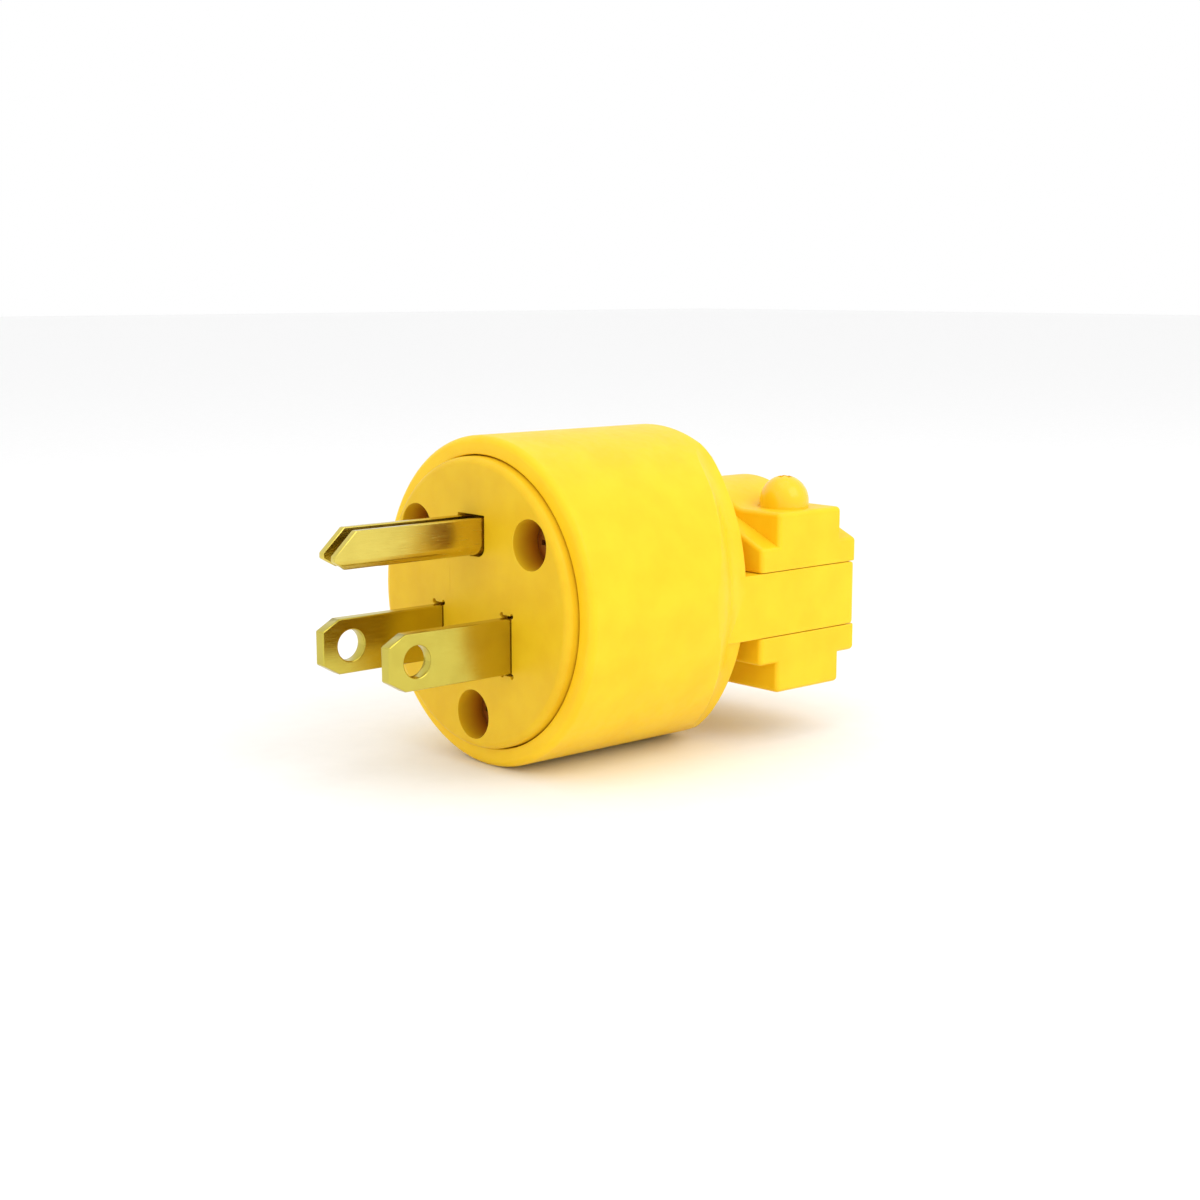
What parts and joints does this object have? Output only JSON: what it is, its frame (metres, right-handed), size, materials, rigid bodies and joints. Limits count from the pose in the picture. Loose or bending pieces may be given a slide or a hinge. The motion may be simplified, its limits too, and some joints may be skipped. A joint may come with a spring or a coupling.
{
  "type": "grounding plug with cord clamp",
  "caption": "Rewireable three-prong grounding plug with a screwed-on face, a round housing and a two-jaw cord clamp.",
  "frame": {"origin": "centre of the face plate's front plane", "axes": "-Y along the prongs, +Y towards the cord, +Z towards the ground pin's side, +X towards the hot blade"},
  "size_m": [0.0386, 0.0693, 0.0386],
  "materials": {
    "housing_yellow": "satin vinyl",
    "face_yellow": "matte nylon",
    "clamp_yellow": "satin vinyl",
    "clamp_screw_yellow": "glossy yellow coat over steel",
    "block_ivory": "matte moulding compound",
    "blade_brass": "bright stamped brass",
    "pin_brass": "bright folded brass",
    "insert_brass": "turned brass",
    "face_screw_brass": "brass-plated steel",
    "wire_plate_steel": "zinc-plated steel",
    "hot_screw_brass": "bright brass",
    "neutral_screw_nickel": "bright nickel plate",
    "ground_screw_green": "green dyed plate",
    "nut_steel": "zinc-plated steel"
  },
  "bodies": {
    "housing": {"housing": "housing_yellow", "insert_right": "insert_brass", "insert_left": "insert_brass", "insert_bottom": "insert_brass"},
    "face_assembly": {"face_plate": "face_yellow", "terminal_block": "block_ivory", "hot_blade": "blade_brass", "neutral_blade": "blade_brass", "ground_pin": "pin_brass"},
    "upper_jaw": {"upper_jaw": "clamp_yellow"},
    "lower_jaw": {"lower_jaw": "clamp_yellow", "near_clamp_nut": "nut_steel", "far_clamp_nut": "nut_steel"},
    "near_clamp_screw": {"near_clamp_screw": "clamp_screw_yellow"},
    "far_clamp_screw": {"far_clamp_screw": "clamp_screw_yellow"},
    "face_screw_right": {"face_screw_right": "face_screw_brass"},
    "face_screw_left": {"face_screw_left": "face_screw_brass"},
    "face_screw_bottom": {"face_screw_bottom": "face_screw_brass"},
    "hot_wire_plate": {"hot_wire_plate": "wire_plate_steel"},
    "neutral_wire_plate": {"neutral_wire_plate": "wire_plate_steel"},
    "ground_wire_plate": {"ground_wire_plate": "wire_plate_steel"},
    "hot_terminal_screw": {"hot_terminal_screw": "hot_screw_brass"},
    "neutral_terminal_screw": {"neutral_terminal_screw": "neutral_screw_nickel"},
    "ground_terminal_screw": {"ground_terminal_screw": "ground_screw_green"}
  },
  "joints": [
    {"name": "near_clamp_screw_turn", "type": "hinge", "parent": "upper_jaw", "child": "near_clamp_screw", "pos_m": [0.011, 0.0406, 0.0091], "axis": [0, 0, 1], "range_deg": [0, 1440]},
    {"name": "far_clamp_screw_turn", "type": "hinge", "parent": "upper_jaw", "child": "far_clamp_screw", "pos_m": [-0.011, 0.0406, 0.0091], "axis": [0, 0, 1], "range_deg": [0, 1440]},
    {"name": "upper_jaw_travel", "type": "slide", "parent": "housing", "child": "upper_jaw", "axis": [0, 0, 1], "range_m": [0, 0.00159]},
    {"name": "lower_jaw_travel", "type": "slide", "parent": "housing", "child": "lower_jaw", "axis": [0, 0, -1], "range_m": [0, 0.00159]},
    {"name": "face_travel", "type": "slide", "parent": "housing", "child": "face_assembly", "axis": [0, -1, 0], "range_m": [0, 0.00714]},
    {"name": "face_screw_right_turn", "type": "hinge", "parent": "face_assembly", "child": "face_screw_right", "pos_m": [0.0105, 0.0044, 0.0079], "axis": [0, -1, 0], "range_deg": [0, 3240]},
    {"name": "face_screw_left_turn", "type": "hinge", "parent": "face_assembly", "child": "face_screw_left", "pos_m": [-0.0105, 0.0044, 0.0079], "axis": [0, -1, 0], "range_deg": [0, 3240]},
    {"name": "face_screw_bottom_turn", "type": "hinge", "parent": "face_assembly", "child": "face_screw_bottom", "pos_m": [0, 0.0044, -0.013], "axis": [0, -1, 0], "range_deg": [0, 3240]},
    {"name": "hot_wire_plate_travel", "type": "slide", "parent": "face_assembly", "child": "hot_wire_plate", "axis": [1, 0, 0], "range_m": [0, 0.00238]},
    {"name": "hot_terminal_screw_turn", "type": "hinge", "parent": "hot_wire_plate", "child": "hot_terminal_screw", "pos_m": [0.0084, 0.0135, -0.004], "axis": [1, 0, 0], "range_deg": [0, 1080]},
    {"name": "neutral_wire_plate_travel", "type": "slide", "parent": "face_assembly", "child": "neutral_wire_plate", "axis": [-1, 0, 0], "range_m": [0, 0.00238]},
    {"name": "neutral_terminal_screw_turn", "type": "hinge", "parent": "neutral_wire_plate", "child": "neutral_terminal_screw", "pos_m": [-0.0084, 0.0135, -0.004], "axis": [-1, 0, 0], "range_deg": [0, 1080]},
    {"name": "ground_wire_plate_travel", "type": "slide", "parent": "face_assembly", "child": "ground_wire_plate", "axis": [0, 0, 1], "range_m": [0, 0.00238]},
    {"name": "ground_terminal_screw_turn", "type": "hinge", "parent": "ground_wire_plate", "child": "ground_terminal_screw", "pos_m": [0, 0.0135, 0.00807], "axis": [0, 0, 1], "range_deg": [0, 1080]}
  ],
  "couplings": [
    {"joint": "lower_jaw_travel", "follows": "upper_jaw_travel", "ratio": 1},
    {"joint": "near_clamp_screw_turn", "follows": "upper_jaw_travel", "rad_per_m": 15832},
    {"joint": "far_clamp_screw_turn", "follows": "upper_jaw_travel", "rad_per_m": 15832},
    {"joint": "face_screw_right_turn", "follows": "face_travel", "rad_per_m": 7915.8},
    {"joint": "face_screw_left_turn", "follows": "face_travel", "rad_per_m": 7915.8},
    {"joint": "face_screw_bottom_turn", "follows": "face_travel", "rad_per_m": 7915.8},
    {"joint": "hot_terminal_screw_turn", "follows": "hot_wire_plate_travel", "rad_per_m": 7915.8},
    {"joint": "neutral_terminal_screw_turn", "follows": "neutral_wire_plate_travel", "rad_per_m": 7915.8},
    {"joint": "ground_terminal_screw_turn", "follows": "ground_wire_plate_travel", "rad_per_m": 7915.8}
  ]
}
